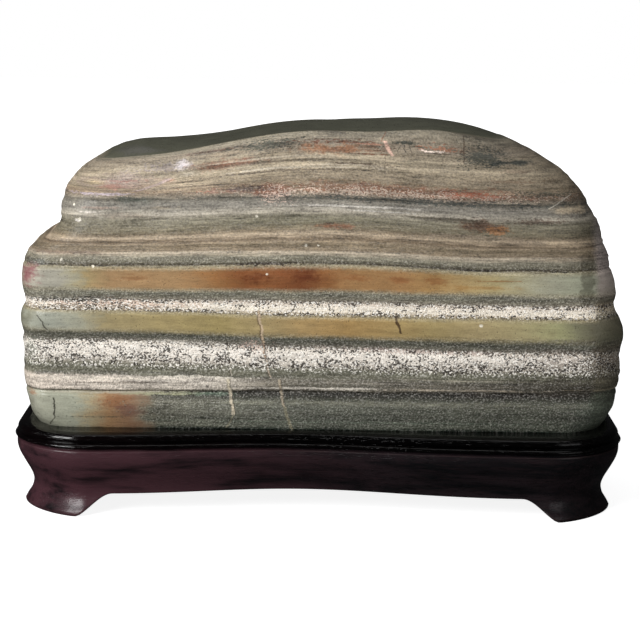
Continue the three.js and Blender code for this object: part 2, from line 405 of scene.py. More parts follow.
# Group: a soft-edged patch, as long and as tall as it says, with a ragged rim
patch_group, given, result = start_group(
    "Patch", "Along", "Level", "Ragged", "Centre", "Centre Level", "Half Length", "Half Height", "Rim")
t = patch_group
along = maths(t, "DIVIDE", minus(t, given["Along"], given["Centre"]), given["Half Length"])
lift = maths(t, "DIVIDE", minus(t, given["Level"], given["Centre Level"]), given["Half Height"])
reach = plus(t, maths(t, "SQRT", plus(t, times(t, along, along), times(t, lift, lift))), given["Ragged"])
t.links.new(rising(t, reach, 1.0, given["Rim"]), result["Mask"])

# Group: a thin vein or crack that leans from its foot to its head and wavers on the way
vein_group, given, result = start_group(
    "Vein", "Along", "Level", "Waver", "Foot", "Foot Level", "Head", "Head Level", "Half Width")
t = vein_group
climb = maths(t, "DIVIDE", minus(t, given["Level"], given["Foot Level"]),
              minus(t, given["Head Level"], given["Foot Level"]))
line = plus(t, given["Foot"], times(t, climb, minus(t, given["Head"], given["Foot"])))
off = maths(t, "ABSOLUTE", minus(t, given["Along"], plus(t, line, given["Waver"])))
breadth = rising(t, off, given["Half Width"], times(t, given["Half Width"], 0.3))
t.links.new(times(t, rising(t, climb, -0.03, 0.03), rising(t, climb, 1.03, 0.97), breadth), result["Mask"])


def start_finish(name):
    """A new material without nodes yet, and the place on its piece in millimetres, whole and as
    x, y and z."""
    finish = bpy.data.materials.new(name)
    finish.use_nodes = True
    tree = finish.node_tree
    tree.nodes.clear()
    whole = scaled(tree, tree.nodes.new("ShaderNodeTexCoord").outputs["Object"], 1 / MM, 1 / MM, 1 / MM)
    split = tree.nodes.new("ShaderNodeSeparateXYZ")
    tree.links.new(whole, split.inputs[0])
    return finish, tree, whole, list(split.outputs)


def finish_surface(tree, polish, height, depth, strength):
    """Bump from a height, as deep as it says, on a polish, which then covers the piece."""
    bump = tree.nodes.new("ShaderNodeBump")
    bump.inputs["Distance"].default_value = depth
    bump.inputs["Strength"].default_value = strength
    tree.links.new(height, bump.inputs["Height"])
    tree.links.new(bump.outputs[0], polish.inputs["Normal"])
    tree.links.new(polish.outputs[0], tree.nodes.new("ShaderNodeOutputMaterial").inputs["Surface"])


stone_finish, t, _, (x_place, y_place, _) = start_finish("banded_stone")
bed_attribute = t.nodes.new("ShaderNodeAttribute")
bed_attribute.attribute_name = "bed"
bed_level = bed_attribute.outputs["Fac"]
join = t.nodes.new("ShaderNodeCombineXYZ")
for socket, value in zip(join.inputs, (x_place, y_place, bed_level)):
    t.links.new(value, socket)
in_beds = join.outputs[0]

# uneven fields, from broad to fine: long along the beds and thin across them; the negative
# lengths turn a field over, so that it differs from the one of the same size
broad = noise(t, in_beds, (60, 60, 16), 1)
streaks = noise(t, in_beds, (30, 30, 3.4), 3, 0.55)
threads = noise(t, in_beds, (15, 15, 1.1), 3, 0.6)
mottle = noise(t, in_beds, (9, 9, 5), 3, 0.6)
grit = noise(t, in_beds, (2.2, 2.2, 1.5), 2, 0.7)
flecks = noise(t, in_beds, (2.2, 2.2, 0.8), 2, 0.6)
glints = noise(t, in_beds, (-2.2, 2.2, 0.8), 1, 0.6)
pits = noise(t, in_beds, (1.3, 1.3, 1.1), 1, 0.7)
crystals = noise(t, in_beds, (-1.25, 1.25, 1.0), 1, 0.7)


def spread(value, amount):
    """A field's value about its middle, times an amount, in the tree at hand."""
    return times(t, minus(t, value, 0.5), amount)


wavy = plus(t, bed_level, spread(broad, 2.0), spread(streaks, 1.4))
ragged = plus(t, wavy, spread(grit, 2.4))

# from the top down: bed level, colour, and how thickly dark grains lie in it
UPPER = [
    (240, 84, 84, 72, 0.02), (236.7, 87, 87, 74, 0.02), (236, 130, 122, 105, 0.1),
    (233.5, 142, 133, 116, 0.2), (230, 138, 126, 109, 0.4), (227, 148, 136, 118, 0.35),
    (224, 154, 141, 120, 0.4), (221.5, 168, 154, 132, 0.3), (219.5, 148, 136, 115, 0.45),
    (217, 174, 160, 137, 0.3), (214.3, 164, 150, 127, 0.35), (211.5, 158, 144, 122, 0.4),
    (209, 150, 136, 115, 0.45), (207.5, 138, 124, 102, 0.5), (205.5, 156, 138, 116, 0.4),
    (202.5, 144, 126, 104, 0.5), (200, 134, 120, 102, 0.55), (198, 144, 134, 118, 0.4),
]
MIDDLE = [
    (198, 144, 134, 118, 0.4), (197, 114, 108, 96, 0.6), (195.4, 130, 125, 114, 0.45),
    (193.5, 130, 125, 115, 0.4), (191.5, 150, 144, 132, 0.3), (189.3, 168, 160, 145, 0.2),
    (187.8, 148, 141, 125, 0.3), (186, 130, 124, 106, 0.35), (183, 124, 117, 98, 0.35),
    (180, 126, 117, 96, 0.35), (177.8, 134, 120, 99, 0.35), (175.8, 178, 160, 136, 0.12),
    (174, 156, 139, 117, 0.3), (172.8, 118, 102, 82, 0.5), (171, 150, 134, 111, 0.3),
    (169, 132, 118, 96, 0.4), (167, 142, 127, 105, 0.35), (165.8, 136, 121, 100, 0.4),
    (164.6, 192, 178, 157, 0.1), (163.4, 174, 162, 142, 0.2), (162, 144, 138, 120, 0.45),
]
# the dark rows from 112.4 to 108.6, under the middle band, are its speckled bed with painted shade in the
# crease beneath it
LOWER = [
    (162, 144, 138, 120, 0.45), (160.4, 134, 129, 111, 0.55), (158.8, 122, 117, 99, 0.65),
    (157.8, 86, 78, 64, 0.75), (157, 146, 138, 114, 0.2), (154, 154, 144, 114, 0.03),
    (148, 150, 138, 104, 0.02), (143, 150, 142, 113, 0.05), (140.2, 142, 136, 116, 0.4),
    (138.6, 126, 124, 108, 0.6), (136.2, 138, 133, 116, 0.6), (134.4, 152, 143, 128, 0.6),
    (133, 214, 200, 184, 0.5), (131, 236, 225, 208, 0.2), (128.4, 238, 227, 208, 0.2),
    (127.2, 200, 186, 164, 0.62), (126, 150, 138, 110, 0.6), (124.6, 164, 152, 120, 0.08),
    (120, 156, 146, 114, 0.02), (115, 138, 128, 100, 0.04), (112.4, 112, 106, 86, 0.2),
    (110.6, 90, 90, 77, 0.55), (108.6, 104, 103, 90, 0.6), (106.4, 128, 122, 109, 0.6),
    (104.8, 214, 204, 190, 0.5), (102.6, 240, 231, 219, 0.34), (100, 238, 229, 217, 0.36),
]
# the near-black rows from 78.6 to 75 are painted shadow under the ledge, and the two lowest rows painted
# shade where the stone goes down into its seat
LOWEST = [
    (100, 238, 229, 217, 0.36), (97, 226, 217, 204, 0.5), (94.6, 200, 191, 178, 0.58),
    (92.6, 132, 128, 113, 0.45), (90.8, 108, 107, 91, 0.25), (89, 114, 112, 96, 0.25),
    (87.6, 100, 98, 84, 0.3), (86, 96, 93, 80, 0.3), (84.2, 112, 107, 94, 0.35),
    (81.2, 150, 144, 132, 0.3), (79.6, 132, 125, 111, 0.4), (78.6, 50, 47, 39, 0.5),
    (77, 40, 39, 33, 0.5), (75, 60, 60, 51, 0.5), (73, 90, 91, 80, 0.5),
    (71, 120, 120, 106, 0.45), (67.4, 106, 108, 96, 0.5), (62, 98, 101, 90, 0.5),
    (56, 110, 115, 101, 0.45), (53.6, 54, 62, 54, 0.4), (51.6, 44, 52, 45, 0.3),
]
stirred = plus(t, wavy, spread(threads, 1.0), spread(grit, 0.8))
colour, grains = ramp(t, stirred, 49.5, 100, LOWEST)
for low, high, stops in ((100, 162, LOWER), (162, 198, MIDDLE), (198, 240, UPPER)):
    shown, share = ramp(t, stirred, low, high, stops)
    above = rising(t, stirred, low - 0.2, low + 0.2)
    colour = layered(t, above, colour, shown)
    grains = plus(t, grains, times(t, above, minus(t, share, grains)))

# colours that change along the waxy bands: level where each starts and is full, then where it
# begins to fade and is gone, and the colours along it
FACE_DEPTH, SLANT = 63, 0.12     # half depth of the block, and how far marks shift per mm back
from_face = times(t, plus(t, y_place, FACE_DEPTH), SLANT)
run = plus(t, x_place, from_face, spread(broad, 14), spread(mottle, 22))
BANDS = {
    "high": (139.4, 143.6, 153, 157.6, [
        (-186, 150, 128, 116), (-176, 158, 150, 136), (-166, 160, 156, 142), (-158, 158, 154, 140),
        (-149, 156, 150, 126), (-142, 156, 138, 100), (-130, 160, 130, 94), (-104, 160, 129, 92),
        (-84, 160, 129, 92), (-62, 148, 106, 66), (-44, 126, 78, 46), (-30, 134, 86, 52),
        (-10, 118, 70, 42), (4, 136, 92, 56), (20, 154, 118, 78), (50, 154, 118, 78),
        (70, 160, 127, 82), (84, 168, 142, 98), (108, 170, 156, 116), (124, 166, 160, 132),
        (140, 160, 158, 138), (160, 148, 150, 130)]),
    "middle": (110.8, 115.5, 122.5, 126.6, [
        (-186, 128, 126, 108), (-168, 156, 158, 145), (-146, 158, 156, 137), (-130, 154, 140, 104),
        (-90, 156, 140, 98), (-60, 156, 140, 94), (-34, 160, 142, 102), (-10, 164, 138, 94),
        (16, 164, 134, 86), (44, 162, 138, 92), (70, 158, 140, 96), (96, 162, 146, 108),
        (126, 160, 150, 112), (146, 150, 148, 110), (158, 118, 116, 92), (168, 98, 94, 76),
        (186, 90, 88, 74)]),
    "ledge": (79.4, 80.2, 86, 87.6, [
        (-184, 186, 174, 160), (-150, 206, 194, 180), (-70, 208, 198, 184), (-50, 180, 171, 157),
        (-30, 128, 121, 108), (-12, 104, 100, 88), (40, 108, 103, 91), (100, 90, 85, 74),
        (140, 62, 58, 48), (186, 66, 61, 50)]),
    "low": (53.6, 55.6, 71.5, 76.5, [
        (-182, 128, 124, 108), (-172, 146, 146, 130), (-150, 146, 146, 128), (-140, 146, 134, 106),
        (-128, 134, 110, 82), (-112, 122, 104, 84), (-102, 124, 120, 104), (-60, 122, 122, 108),
        (-20, 106, 108, 96), (30, 98, 100, 89), (90, 84, 86, 75), (130, 62, 65, 55),
        (156, 60, 64, 55), (166, 98, 110, 96), (180, 84, 92, 80), (186, 72, 76, 64)]),
}
SHARE = {"high": 1, "middle": 1, "ledge": 1, "low": 0.5}   # how much each hides the beds' own colour
in_bands = {}
for name, (low, low_full, high_full, high, stops) in BANDS.items():
    within = times(t, rising(t, ragged, low, low_full), rising(t, ragged, high, high_full))
    colour = layered(t, times(t, within, SHARE[name]), colour, ramp(t, run, -190, 190, stops)[0])
    in_bands[name] = within
low_edge = times(t, rising(t, ragged, 52, 54), rising(t, ragged, 79.3, 78.2))
pale_end = times(t, low_edge, rising(t, run, -96, -112))
waxy = plus(t, in_bands["high"], in_bands["middle"], pale_end)
colour = layered(t, pale_end, colour, ramp(t, run, -190, -90, [
    (-184, 132, 128, 110), (-172, 162, 162, 145), (-150, 162, 163, 145), (-141, 164, 150, 120),
    (-130, 156, 124, 90), (-116, 138, 108, 84), (-98, 122, 118, 102)])[0])
grains = times(t, grains, minus(t, 1.0, times(t, pale_end, 0.85)))

# bed colours that stop part way along, with painted shadow under the ledge and one painted highlight
# among them: middle, half length, level, half height, colour, strength, and how they are laid:
# "wash" is soft, "line" thin and crisp, "grains" broken up and "crumbs" broken up coarsely
PATCHES = [
    # the left shoulder
    (-122, 40, 214.5, 9, 156, 138, 128, 0.8, "wash"), (-138, 9, 214.6, 4, 186, 168, 132, 0.7, "wash"),
    (-116, 20, 210, 4, 172, 144, 132, 0.6, "wash"), (-128, 11, 209.5, 5.5, 160, 116, 100, 0.8, "wash"),
    (-118, 14, 216.6, 1, 150, 104, 92, 0.6, "grains"), (-98, 12, 211.4, 3, 164, 140, 128, 0.5, "wash"),
    (-134, 22, 200.8, 1.8, 176, 162, 168, 0.9, "line"), (-112, 17, 197.4, 3.6, 84, 88, 80, 0.85, "wash"),
    (-98, 15, 223.4, 3, 134, 124, 128, 0.55, "grains"),
    # the white patch at -84, level 224.2, is a painted highlight where the folded beds bulge
    (-84, 6, 224.2, 5, 200, 192, 194, 0.8, "wash"), (-80, 8, 218.6, 4.5, 178, 168, 150, 0.6, "wash"),
    (-92, 6, 215, 2, 182, 124, 102, 0.8, "wash"), (-96, 9, 206.4, 1.6, 96, 98, 92, 0.6, "wash"),
    (-112, 20, 237.6, 1.6, 104, 102, 98, 0.6, "wash"), (-86, 30, 209, 11, 192, 174, 148, 0.75, "wash"),
    (-94, 12, 192.6, 1.4, 176, 160, 136, 0.4, "wash"), (-141, 8, 190.7, 0.5, 220, 210, 200, 0.9, "line"),
    (-147, 3, 185.6, 0.9, 222, 214, 206, 0.8, "line"), (-120, 30, 188.8, 2, 124, 110, 94, 0.5, "wash"),
    (-136, 18, 192.8, 1, 164, 142, 128, 0.6, "line"),
    # under the crest
    (-62, 26, 230.7, 1.1, 86, 62, 52, 0.8, "grains"), (-30, 27, 229.8, 3.4, 72, 74, 64, 0.85, "grains"),
    (-57, 26, 221.2, 3.8, 136, 96, 76, 0.9, "wash"), (-58, 22, 227.5, 1.8, 164, 148, 126, 0.7, "wash"),
    (8, 23, 230.4, 1.2, 104, 66, 50, 0.8, "grains"), (8, 29, 225.8, 4.4, 140, 98, 70, 0.9, "wash"),
    (28, 16, 223.9, 0.7, 120, 72, 48, 0.8, "line"), (30, 10, 229.4, 0.6, 190, 140, 116, 0.7, "line"),
    (40, 4, 227, 3, 84, 56, 46, 0.6, "grains"), (50, 10, 231, 1, 44, 50, 44, 0.9, "line"),
    (58, 9, 229.9, 0.5, 60, 58, 50, 0.8, "line"), (74, 13, 229.2, 1.5, 156, 102, 76, 0.7, "grains"),
    (68, 7, 227.9, 0.9, 236, 218, 204, 0.9, "grains"), (72, 12, 226.7, 0.5, 70, 52, 42, 0.8, "line"),
    (66, 26, 221.5, 4.5, 148, 138, 118, 0.5, "wash"), (98, 15, 226, 6, 66, 72, 64, 0.4, "wash"),
    (98, 14, 226, 6, 54, 60, 54, 0.75, "grains"), (118, 20, 222.3, 2.4, 56, 64, 60, 0.9, "wash"),
    (118, 14, 217.8, 1.2, 166, 146, 124, 0.6, "line"),
    # the fine lines below
    (-22, 58, 215.4, 0.8, 202, 190, 170, 0.85, "line"), (-20, 60, 213.8, 0.7, 84, 74, 62, 0.8, "grains"),
    (-35, 46, 221.9, 0.7, 186, 174, 154, 0.7, "line"), (-25, 50, 219.6, 0.6, 92, 80, 66, 0.7, "grains"),
    (22, 22, 217.6, 0.7, 84, 70, 58, 0.8, "grains"), (6, 34, 216.8, 0.6, 190, 178, 158, 0.7, "line"),
    (120, 26, 212.4, 1.4, 106, 84, 66, 0.6, "grains"), (-70, 30, 206.8, 0.6, 94, 84, 72, 0.6, "line"),
    # the rusty grains, and the grey line beneath them
    (50, 112, 203.2, 5, 146, 110, 88, 0.65, "wash"), (50, 112, 202.4, 4, 112, 72, 54, 0.65, "grains"),
    (46, 102, 201, 3.6, 226, 206, 186, 0.65, "crumbs"),
    (-30, 13, 200.6, 5, 140, 88, 66, 0.7, "wash"), (-28, 10, 199, 5, 226, 200, 182, 0.75, "crumbs"),
    (-56, 18, 201.6, 2, 146, 100, 84, 0.55, "grains"), (-46, 13, 202.6, 1.8, 74, 72, 70, 0.7, "grains"),
    (92, 18, 203, 3, 150, 84, 60, 0.7, "grains"), (136, 20, 204.6, 2.4, 72, 76, 64, 0.75, "grains"),
    (58, 104, 197.2, 1.8, 70, 74, 70, 0.85, "grains"),
    (-20, 16, 195.4, 1.6, 64, 60, 52, 0.6, "grains"), (20, 46, 192.4, 0.9, 200, 194, 184, 0.75, "line"),
    (100, 40, 194.5, 0.7, 160, 152, 138, 0.6, "line"), (36, 24, 190, 0.6, 208, 202, 192, 0.7, "line"),
    # the smooth olive bed and its rusty knot
    (98, 18, 184.8, 5.2, 92, 64, 46, 0.85, "wash"), (106, 8, 182.6, 2.6, 158, 112, 72, 0.7, "grains"),
    (94, 5, 186, 3, 62, 44, 34, 0.6, "grains"), (131, 16, 187.8, 1.8, 92, 70, 58, 0.65, "grains"),
    (76, 30, 188, 0.9, 84, 76, 62, 0.75, "line"), (9, 20, 180.4, 2.2, 138, 96, 72, 0.85, "wash"),
    (-10, 76, 183.6, 3.2, 112, 108, 88, 0.5, "wash"), (90, 50, 178.4, 1.6, 166, 148, 128, 0.5, "wash"),
    (120, 40, 176.4, 0.7, 172, 154, 132, 0.6, "line"),
    (152, 18, 194.4, 3.2, 200, 182, 154, 0.75, "wash"), (148, 20, 175, 2.6, 190, 170, 142, 0.6, "wash"),
    (150, 30, 164.4, 1.2, 128, 116, 96, 0.7, "wash"),
    (-150, 36, 164.8, 1.6, 138, 120, 103, 0.9, "wash"),
    # the crack over the high band, which opens and closes
    (-140, 28, 157.2, 0.6, 36, 32, 26, 0.95, "line"), (-30, 20, 157.3, 0.9, 48, 36, 28, 0.9, "grains"),
    (96, 16, 157.2, 0.6, 34, 28, 22, 0.95, "line"), (146, 14, 157.2, 0.6, 36, 30, 24, 0.95, "line"),
    (-172, 12, 158.6, 2, 100, 104, 98, 0.6, "wash"),
    # inside the high band
    (-177, 8, 149.6, 10, 140, 88, 92, 0.8, "wash"), (-38, 10, 149, 4, 92, 44, 24, 0.6, "wash"),
    (-8, 11, 150, 4.4, 88, 42, 24, 0.65, "wash"), (-112, 14, 149.5, 3, 134, 88, 52, 0.5, "wash"),
    (22, 13, 149.6, 3, 134, 80, 44, 0.5, "wash"), (48, 10, 149, 3.2, 130, 74, 38, 0.5, "wash"),
    (70, 10, 149.6, 3, 140, 84, 46, 0.45, "wash"), (100, 26, 145.6, 2.2, 160, 120, 66, 0.5, "wash"),
    (108, 16, 150.5, 0.7, 138, 92, 48, 0.6, "line"),
    # the white bands: pinker at the left, browner at the right
    (-124, 60, 130.6, 4.6, 206, 168, 146, 0.6, "wash"), (-142, 50, 128.4, 2.4, 116, 104, 86, 0.85, "grains"),
    (-150, 40, 134, 2, 104, 104, 94, 0.85, "grains"), (-165, 34, 106.8, 1.6, 104, 102, 90, 0.8, "grains"),
    (150, 44, 101.6, 8, 158, 144, 132, 0.55, "wash"), (130, 60, 96, 3, 130, 122, 110, 0.55, "grains"),
    (60, 80, 105, 2, 196, 172, 164, 0.5, "wash"), (162, 26, 112.6, 2, 92, 88, 74, 0.8, "wash"),
    (-176, 9, 99, 8, 104, 108, 94, 0.75, "wash"), (170, 16, 101, 9, 96, 88, 72, 0.7, "wash"),
    (-80, 24, 106.4, 1.8, 214, 206, 194, 0.85, "crumbs"), (-84, 26, 84.8, 2.6, 216, 206, 192, 0.75, "wash"),
    (-40, 9, 106.4, 3.4, 226, 196, 182, 0.6, "crumbs"),
    # the ledge and the shadow under it
    (-128, 62, 85.2, 0.7, 216, 206, 190, 0.8, "line"), (-70, 34, 86.4, 0.6, 222, 214, 198, 0.8, "line"),
    (-130, 50, 83.2, 0.6, 128, 118, 106, 0.7, "line"), (-110, 40, 88.4, 0.5, 84, 82, 72, 0.7, "line"),
    (0, 52, 80.6, 1, 214, 206, 192, 0.95, "line"), (86, 60, 80.5, 1, 172, 160, 142, 0.9, "line"),
    (156, 18, 82, 0.7, 140, 128, 108, 0.6, "line"), (20, 60, 84.4, 0.6, 150, 143, 130, 0.6, "line"),
    (116, 62, 77.4, 2.2, 28, 23, 18, 0.8, "wash"), (150, 50, 88.4, 4.6, 62, 58, 48, 0.9, "wash"),
    (84, 40, 85.2, 0.8, 70, 66, 56, 0.75, "line"), (84, 60, 87.8, 0.6, 150, 142, 126, 0.5, "line"),
    (-128, 66, 77.8, 1.8, 176, 170, 152, 0.85, "wash"), (-120, 80, 79, 0.4, 96, 90, 76, 0.8, "line"),
    # the low band
    (-126, 14, 71.5, 7, 132, 86, 58, 0.65, "wash"), (-116, 12, 65, 6.5, 112, 82, 74, 0.6, "wash"),
    (-94, 34, 77, 1.6, 156, 156, 124, 0.75, "wash"), (-175, 5, 76, 3.4, 150, 104, 74, 0.65, "wash"),
    (-66, 16, 76.6, 2, 116, 138, 118, 0.6, "wash"), (30, 120, 71.4, 1.8, 150, 148, 130, 0.45, "crumbs"),
    (-50, 60, 65, 2, 140, 138, 124, 0.4, "crumbs"), (20, 150, 58.6, 0.6, 122, 132, 116, 0.6, "line"),
    (0, 170, 60.4, 0.6, 66, 70, 60, 0.6, "line"), (40, 110, 64, 0.8, 80, 82, 72, 0.6, "line"),
]
# for each way of laying: what makes the edge ragged, and where the patch begins to fade
FIELDS = {
    "wash": (plus(t, spread(mottle, 1.7), spread(streaks, 1.0), spread(grit, 1.2)), 0.2),
    "line": (plus(t, spread(streaks, 1.6), spread(grit, 2.0)), 0.4),
    "grains": (plus(t, spread(flecks, 5.0), spread(mottle, 2.2), 0.15), 0.65),
    "crumbs": (plus(t, spread(crystals, 5.5), spread(mottle, 2.6), 0.35), 0.75),
}
on_face = rising(t, y_place, 0, -24)
patch_level = plus(t, bed_level, spread(streaks, 1.6), spread(threads, 0.8))


def marked(under, group, strength, shade, **values):
    """A mark in one colour over what lies under it, on the face alone; its shape is a group's."""
    mask = placed(t, group, Along=x_place, **values)["Mask"]
    return layered(t, times(t, mask, times(t, on_face, strength)), under, tint(*shade))


for middle, length, level, height, *shade, strength, kind in PATCHES:
    field, rim = FIELDS[kind]
    colour = marked(colour, patch_group, strength, shade, Level=patch_level, Ragged=field, Rim=rim,
                    Centre=middle, Centre_Level=level, Half_Length=length, Half_Height=height)

# painted light and shade: the stone is painted lighter at the upper left, where the key light falls,
# darker over its right shoulder, which turns away from the light, and darker at the far left half way up
shoulder = times(t, rising(t, x_place, -20, 150), rising(t, bed_level, 156, 163))
left_light = times(t, rising(t, x_place, -20, -100), rising(t, bed_level, 190, 202))
left_shade = times(t, rising(t, x_place, -100, -146), near(t, bed_level, 178, 18))
# beyond the right corner it is stained grey: bed level and colour, from the top down
END_STAINS = [
    (240, 137, 126, 104), (206, 133, 121, 100), (190, 161, 151, 135), (184, 180, 169, 161),
    (166, 186, 172, 167), (146, 172, 159, 151), (137, 119, 113, 95), (134, 152, 137, 113),
    (131, 159, 145, 119), (127, 109, 104, 87), (113, 95, 93, 76), (106, 107, 97, 81),
    (101, 124, 109, 93), (96, 93, 85, 69), (82, 87, 83, 67), (80.6, 147, 137, 113),
    (79, 69, 74, 61), (66, 104, 113, 97), (49.5, 83, 90, 78),
]
beyond = rising(t, plus(t, x_place, spread(mottle, 5), times(t, y_place, SLANT)), 158, 164)
colour = layered(t, times(t, beyond, 0.85), colour, ramp(t, wavy, 49.5, 240, END_STAINS)[0])
# painted shade: a dark olive strip down the right corner, where the face turns away from the light
corner_shade = times(t, near(t, plus(t, x_place, spread(mottle, 9)), 162, 4.2),
                     near(t, plus(t, bed_level, spread(mottle, 12)), 151, 16))
colour = layered(t, times(t, corner_shade, on_face, 0.5), colour, tint(64, 58, 42))

# small white grains: x, level, radius
WHITE_GRAINS = [
    (-156.7, 160.3, 1.3), (-137.3, 156.9, 1.2), (-38.6, 186.3, 1.2), (-32.1, 151.3, 1.0),
    (-8.7, 168.5, 1.0), (-1.5, 168.5, 0.9), (-146, 186.4, 1.2), (-150, 193.6, 0.8), (98, 121.8, 1.2),
]
# veins and cracks: x and level of the foot, x and level of the head, half width, colour, strength
VEINS = [
    (-37.4, 128.5, -34.2, 108.2, 1.5, 88, 70, 52, 0.8), (-37, 128.5, -33.8, 108.2, 1.1, 192, 170, 142, 0.95),
    (-34, 108.2, -32.3, 97.5, 1.3, 80, 66, 52, 0.8), (-32.3, 97.5, -30, 87, 1.3, 90, 80, 66, 0.7),
    (-34.4, 108.2, -32.6, 97.5, 0.6, 206, 176, 150, 0.8), (-31.8, 97.5, -29.6, 87, 0.7, 176, 160, 140, 0.9),
    (-23.6, 86, -21.1, 69, 1.5, 66, 62, 52, 0.6), (-24.2, 86, -21.4, 69, 1.1, 172, 158, 136, 0.9),
    (-21.1, 69, -16.1, 53.6, 1.4, 146, 140, 116, 0.9), (-56.7, 107.7, -54.2, 87.5, 0.8, 84, 78, 66, 0.8),
    (-55.8, 107.7, -53.3, 87.5, 0.5, 196, 186, 170, 0.7), (-54.8, 86, -51.7, 63, 1.8, 78, 74, 62, 0.6),
    (-55.4, 86, -51.9, 63, 1.3, 202, 190, 166, 0.95), (-51.7, 63, -56.2, 54, 0.9, 150, 146, 124, 0.9),
    (-161.9, 73.2, -161.8, 60, 0.7, 44, 42, 34, 0.9), (-161.8, 60, -165.5, 54, 0.6, 54, 50, 40, 0.85),
    (45.7, 126.6, 49.6, 115.9, 1.1, 70, 52, 36, 0.9), (-171, 122, -165.5, 113, 0.8, 54, 52, 42, 0.8),
    (86.3, 222, 86.4, 235.5, 0.5, 84, 66, 52, 0.75), (38, 213, 38.6, 223, 0.4, 96, 84, 70, 0.7),
    (42.6, 223.5, 38, 231.6, 1.7, 226, 186, 166, 0.85), (36, 231, 38.5, 236, 0.4, 128, 84, 60, 0.7),
    (-112, 203.6, -92, 216.5, 3.2, 192, 172, 166, 0.85), (138, 195.5, 152, 203.6, 1.0, 216, 208, 192, 0.8),
    (46, 226, 47.5, 230, 0.4, 56, 50, 42, 0.85), (50.5, 226, 50, 230, 0.4, 56, 50, 42, 0.85),
    (54.6, 226, 53, 230.4, 0.4, 60, 54, 46, 0.8),
]
for middle, level, radius in WHITE_GRAINS:
    colour = marked(colour, patch_group, 0.9, (232, 224, 206), Level=bed_level, Ragged=spread(grit, 2.0),
                    Rim=0.5, Centre=middle, Centre_Level=level, Half_Length=radius, Half_Height=radius)
waver = plus(t, spread(grit, 1.6), spread(mottle, 3.0))
for foot, foot_level, head, head_level, width, *shade, strength in VEINS:
    colour = marked(colour, vein_group, strength, shade, Level=bed_level, Waver=waver, Half_Width=width,
                    Foot=foot, Foot_Level=foot_level, Head=head, Head_Level=head_level)

# fine streaks everywhere, weaker in the waxy bands and on the polished top
on_top = rising(t, plus(t, bed_level, spread(grit, 0.8)), CREST - 0.1, CREST + 0.5)
calm = maths(t, "MAXIMUM", waxy, on_top, clamp=True)
white = maths(t, "MAXIMUM", near(t, wavy, 130.2, 4.4), near(t, wavy, 98.6, 8))
lively = minus(t, 1.0, plus(t, times(t, calm, 0.75), times(t, white, 0.6)))
uneven = plus(t, spread(threads, 1.8), spread(streaks, 1.5), spread(flecks, 0.4), spread(pits, 1.2),
              spread(crystals, 0.9))
tone = plus(t, 1.0, times(t, uneven, lively), times(t, spread(mottle, 0.6), calm))
shading = plus(t, times(t, left_light, 0.04), times(t, shoulder, -0.3), times(t, left_shade, -0.14))
tone = times(t, tone, plus(t, 1.0, times(t, shading, minus(t, 1.0, on_top))))
shaded = t.nodes.new("ShaderNodeVectorMath")
shaded.operation = "SCALE"
t.links.new(colour, shaded.inputs[0])
t.links.new(tone, shaded.inputs["Scale"])
colour = shaded.outputs[0]

# dark grains where the ramps say, and pale ones among them
clumps = plus(t, spread(mottle, 0.6), spread(streaks, 0.3))
density = plus(t, times(t, minus(t, grains, 0.5), 0.36), times(t, clumps, plus(t, white, 0.3)))
granular = rising(t, bed_level, 164, 160)
streaky = minus(t, 1.0, granular)
grain_field = plus(t, times(t, pits, granular), times(t, flecks, streaky))
dark = rising(t, plus(t, grain_field, density), 0.5, 0.55)
dark_share = plus(t, 0.3, times(t, granular, 0.2), times(t, white, 0.42))
colour = layered(t, times(t, dark, dark_share), colour, tint(44, 38, 31))
pale_field = plus(t, times(t, crystals, granular), times(t, glints, streaky))
# no pale grains where the end is stained grey, nor under the painted shade of the right shoulder
stain_and_shade = times(t, maths(t, "MAXIMUM", beyond, shoulder), 0.6)
pale = times(t, rising(t, pale_field, 0.53, 0.62), minus(t, 1.0, calm), minus(t, 1.0, stain_and_shade))
pale_share = plus(t, 0.05, times(t, granular, 0.07), times(t, white, 0.7))
colour = layered(t, times(t, pale, pale_share), colour, tint(252, 247, 238))

polish = t.nodes.new("ShaderNodeBsdfPrincipled")
t.links.new(colour, polish.inputs["Base Color"])
rough = plus(t, 0.5, spread(grit, 0.3), times(t, white, 0.2))
t.links.new(minus(t, rough, times(t, calm, 0.18)), polish.inputs["Roughness"])
polish.inputs["Specular IOR Level"].default_value = 0.35
grain_relief = plus(t, spread(threads, 0.8), spread(flecks, 0.6), times(t, spread(pits, -1.6), granular))
grain_relief = times(t, grain_relief, plus(t, lively, times(t, white, 1.2)))
finish_surface(t, polish, grain_relief, depth=0.6 * MM, strength=0.7)

stone.data.materials.append(stone_finish)
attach(stone, "root")
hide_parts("stone")


# ---- The stand ------------------------------------------------------------------------------
# A low stand carved from one plank of dark hardwood to fit the stone: a seat let into the top, a
# moulded edge, a hollow apron and four spreading corner feet. It is stained nearly black,
# oiled and rubbed to a satin shine, which has worn lighter along the edges.

stand_low, stand_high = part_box("stand")
LENGTH = (stand_high.x - stand_low.x) / MM
DEPTH = 160                # over the moulding at the corners
CORNER = 47
RIM = stand_high.z / MM
SEAT_FLOOR = 49
SEAT_GAP = 0.5
APRON_TOP = 42.4
APRON_BOTTOM, APRON_ARCH = 13.6, 2
UNDERSIDE = 19
FRONT_HOLLOW, BACK_HOLLOW, HOLLOW_CENTRE, HOLLOW_SPREAD = 11, 5, -18, 78
FOOT_ON_FRONT, FOOT_ON_END, FOOT_SWEEP, FOOT_EASING = 151, 34, 25, 4
WALL, WALL_TAPER = 24, 2   # from the moulding's widest line in to the back of the apron
EDGE_RADIUS = 0.9          # easing of the apron's lower edge
SEAT_EASING = 0.3          # easing of the seat's edge

